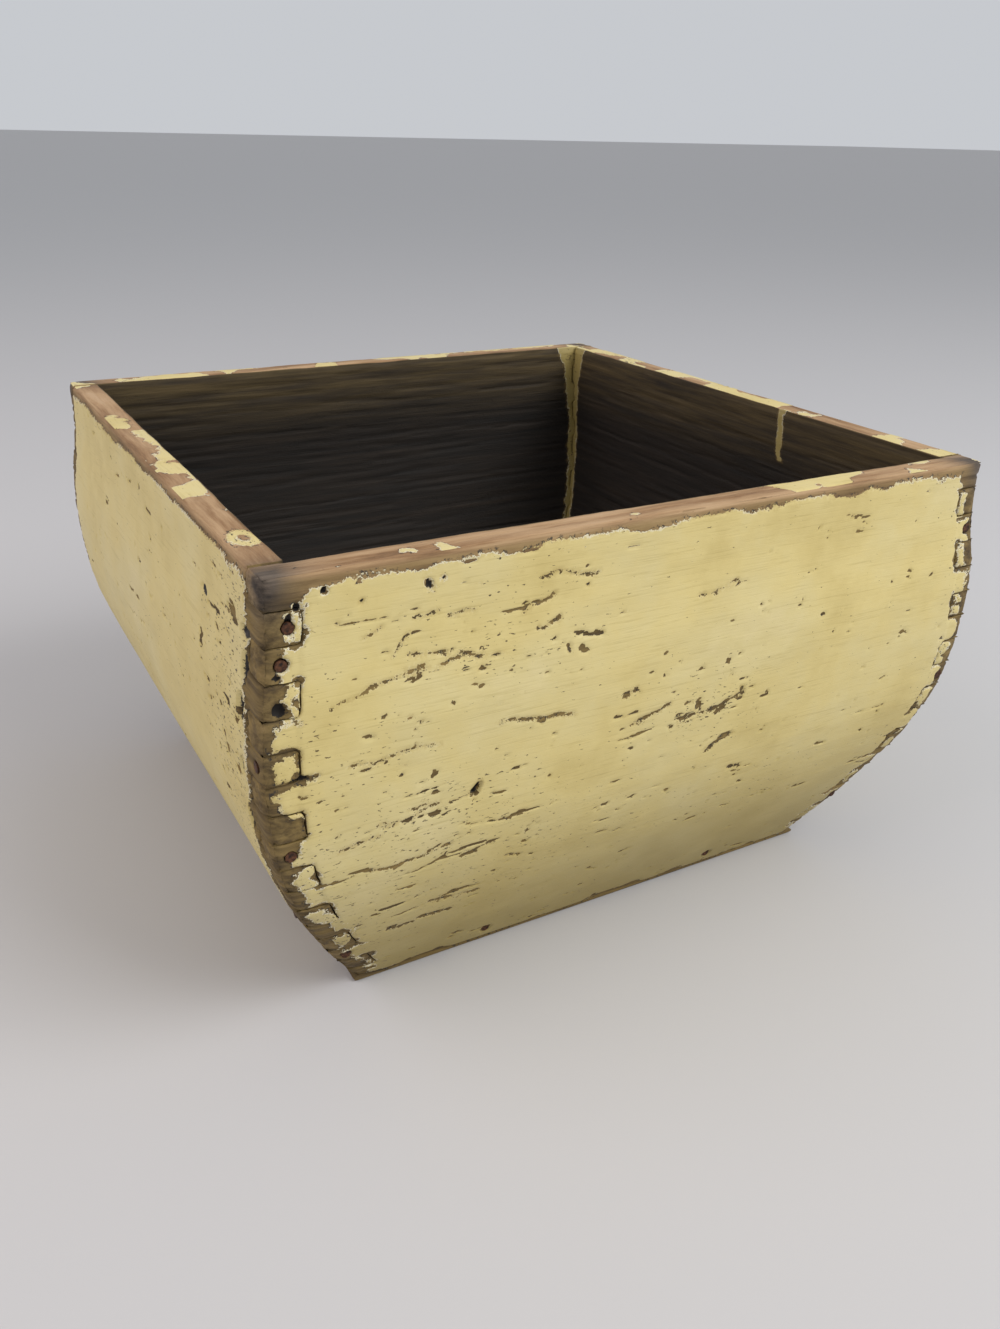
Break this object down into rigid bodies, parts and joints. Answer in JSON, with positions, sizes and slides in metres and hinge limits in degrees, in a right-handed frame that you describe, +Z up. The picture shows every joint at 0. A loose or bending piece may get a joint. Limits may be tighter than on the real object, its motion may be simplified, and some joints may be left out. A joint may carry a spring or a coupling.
{
  "type": "grain measure",
  "caption": "Square bellied wooden grain measure, open on top, with finger-jointed corners, chipped pale yellow paint and a nailed plank bottom.",
  "frame": {"origin": "centre of the underside of the measure", "axes": "+Z up to the open rim, -Y towards the front wall, +X to the right wall"},
  "size_m": [0.3, 0.297, 0.182],
  "materials": {
    "painted_wood": "chipped pale yellow paint on brown wood",
    "bare_wood": "dark aged bare wood",
    "rusty_iron": "rusty iron nails"
  },
  "bodies": {
    "root": {"bottom_plank_back": "bare_wood", "bottom_plank_front": "bare_wood", "bottom_plank_middle": "bare_wood", "nail_back_left_a1": "rusty_iron", "nail_back_left_a2": "rusty_iron", "nail_back_left_a3": "rusty_iron", "nail_back_left_b1": "rusty_iron", "nail_back_left_b2": "rusty_iron", "nail_back_right_a1": "rusty_iron", "nail_back_right_a2": "rusty_iron", "nail_back_right_a3": "rusty_iron", "nail_back_right_b1": "rusty_iron", "nail_back_right_b2": "rusty_iron", "nail_bottom_back_1": "rusty_iron", "nail_bottom_back_2": "rusty_iron", "nail_bottom_front_1": "rusty_iron", "nail_bottom_front_2": "rusty_iron", "nail_bottom_left_1": "rusty_iron", "nail_bottom_left_2": "rusty_iron", "nail_bottom_right_1": "rusty_iron", "nail_bottom_right_2": "rusty_iron", "nail_front_left_a1": "rusty_iron", "nail_front_left_a2": "rusty_iron", "nail_front_left_a3": "rusty_iron", "nail_front_left_b1": "rusty_iron", "nail_front_left_b2": "rusty_iron", "nail_front_right_a1": "rusty_iron", "nail_front_right_a2": "rusty_iron", "nail_front_right_a3": "rusty_iron", "nail_front_right_b1": "rusty_iron", "nail_front_right_b2": "rusty_iron", "nail_repair_front_left": "rusty_iron", "wall_back": "painted_wood", "wall_front": "painted_wood", "wall_left": "painted_wood", "wall_right": "painted_wood"}
  },
  "joints": []
}
